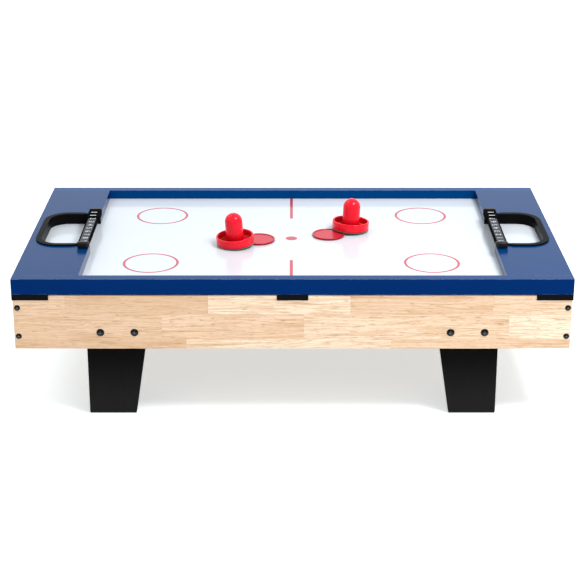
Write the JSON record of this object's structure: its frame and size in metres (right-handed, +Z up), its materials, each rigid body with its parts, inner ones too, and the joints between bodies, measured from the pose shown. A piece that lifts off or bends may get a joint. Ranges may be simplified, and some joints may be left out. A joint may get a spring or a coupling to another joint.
{
  "type": "air hockey table",
  "caption": "Tabletop air hockey table: blue framed white playfield on a pale wood box with black legs, goal pockets, sliding scorers, pushers and pucks.",
  "frame": {"origin": "centre of the table's footprint on the floor", "axes": "+X along the table's length to the right, +Y to the back, +Z up"},
  "size_m": [1.016, 0.5542, 0.3203],
  "materials": {
    "pine": "satin clear lacquer on finger-jointed pine",
    "black_lacquer": "satin black lacquer",
    "black_steel": "semi-gloss black",
    "zinc_steel": "zinc plated",
    "black_plastic": "moulded, semi-gloss",
    "fan_plastic": "glass-filled moulding",
    "hardboard": "plain brown hardboard",
    "white_laminate": "glossy white laminate on board, red printed markings",
    "blue_lacquer": "glossy blue laminate on board",
    "rubber": "matte",
    "rocker_red": "glossy",
    "lead_sleeve": "soft vinyl",
    "felt": "short-pile felt",
    "red_plastic": "glossy moulding"
  },
  "bodies": {
    "table": {"apron_front": "pine", "apron_rear": "pine", "apron_left": "pine", "apron_right": "pine", "corner_block_front_left": "pine", "corner_block_front_right": "pine", "corner_block_rear_left": "pine", "corner_block_rear_right": "pine", "leg_front_left": "black_lacquer", "leg_front_right": "black_lacquer", "leg_rear_left": "black_lacquer", "leg_rear_right": "black_lacquer", "leg_side_front_left": "black_lacquer", "leg_side_front_right": "black_lacquer", "leg_side_rear_left": "black_lacquer", "leg_side_rear_right": "black_lacquer", "foot_pads": "rubber", "leg_bolts": "black_steel", "leg_nuts": "zinc_steel", "apron_screws": "black_steel", "corner_clip_front_left": "black_plastic", "corner_clip_front_right": "black_plastic", "corner_clip_rear_left": "black_plastic", "corner_clip_rear_right": "black_plastic", "centre_clip_front": "black_plastic", "centre_clip_rear": "black_plastic", "bottom_panel": "hardboard", "playfield_board": "white_laminate", "rail_front": "blue_lacquer", "rail_rear": "blue_lacquer", "deck_left": "blue_lacquer", "deck_right": "blue_lacquer", "frame_screws": "zinc_steel", "pocket_liner_left": "black_plastic", "pocket_liner_right": "black_plastic", "score_bar_left": "black_plastic", "score_bar_right": "black_plastic", "score_bar_screws": "zinc_steel", "fan_frame": "fan_plastic", "fan_guard": "zinc_steel", "fan_screws": "zinc_steel", "fan_nuts": "zinc_steel", "switch_housing": "black_plastic", "dc_inlet": "black_plastic", "dc_inlet_nut": "zinc_steel", "fan_lead": "lead_sleeve", "switch_lead": "lead_sleeve"},
    "fan_rotor": {"fan_rotor": "fan_plastic"},
    "score_cursor_left": {"score_cursor_left": "black_plastic"},
    "score_cursor_right": {"score_cursor_right": "black_plastic"},
    "switch_rocker": {"switch_rocker": "rocker_red"},
    "pusher_left": {"pusher_left": "red_plastic", "pusher_pad_left": "felt"},
    "pusher_right": {"pusher_right": "red_plastic", "pusher_pad_right": "felt"},
    "puck_left": {"puck_left": "red_plastic"},
    "puck_right": {"puck_right": "red_plastic"}
  },
  "joints": [
    {"name": "fan_spin", "type": "hinge", "parent": "table", "child": "fan_rotor", "pos_m": [0, 0, 0.15], "axis": [0, 0, 1], "continuous": true},
    {"name": "score_left_slide", "type": "slide", "parent": "table", "child": "score_cursor_left", "axis": [0, -1, 0], "range_m": [0, 0.144]},
    {"name": "score_right_slide", "type": "slide", "parent": "table", "child": "score_cursor_right", "axis": [0, -1, 0], "range_m": [0, 0.144]},
    {"name": "switch_rock", "type": "hinge", "parent": "table", "child": "switch_rocker", "pos_m": [0.42, 0.273, 0.1872], "axis": [-1, 0, 0], "range_deg": [0, 18]},
    {"name": "pusher_left_lift", "type": "slide", "parent": "table", "child": "pusher_left", "axis": [0, 0, 1], "range_m": [0, 0.12]},
    {"name": "pusher_right_lift", "type": "slide", "parent": "table", "child": "pusher_right", "axis": [0, 0, 1], "range_m": [0, 0.12]},
    {"name": "puck_left_glide", "type": "slide", "parent": "table", "child": "puck_left", "axis": [0.9285, -0.3714, 0], "range_m": [0, 0.42]},
    {"name": "puck_right_glide", "type": "slide", "parent": "table", "child": "puck_right", "axis": [-0.9285, 0.3714, 0], "range_m": [0, 0.42]}
  ]
}
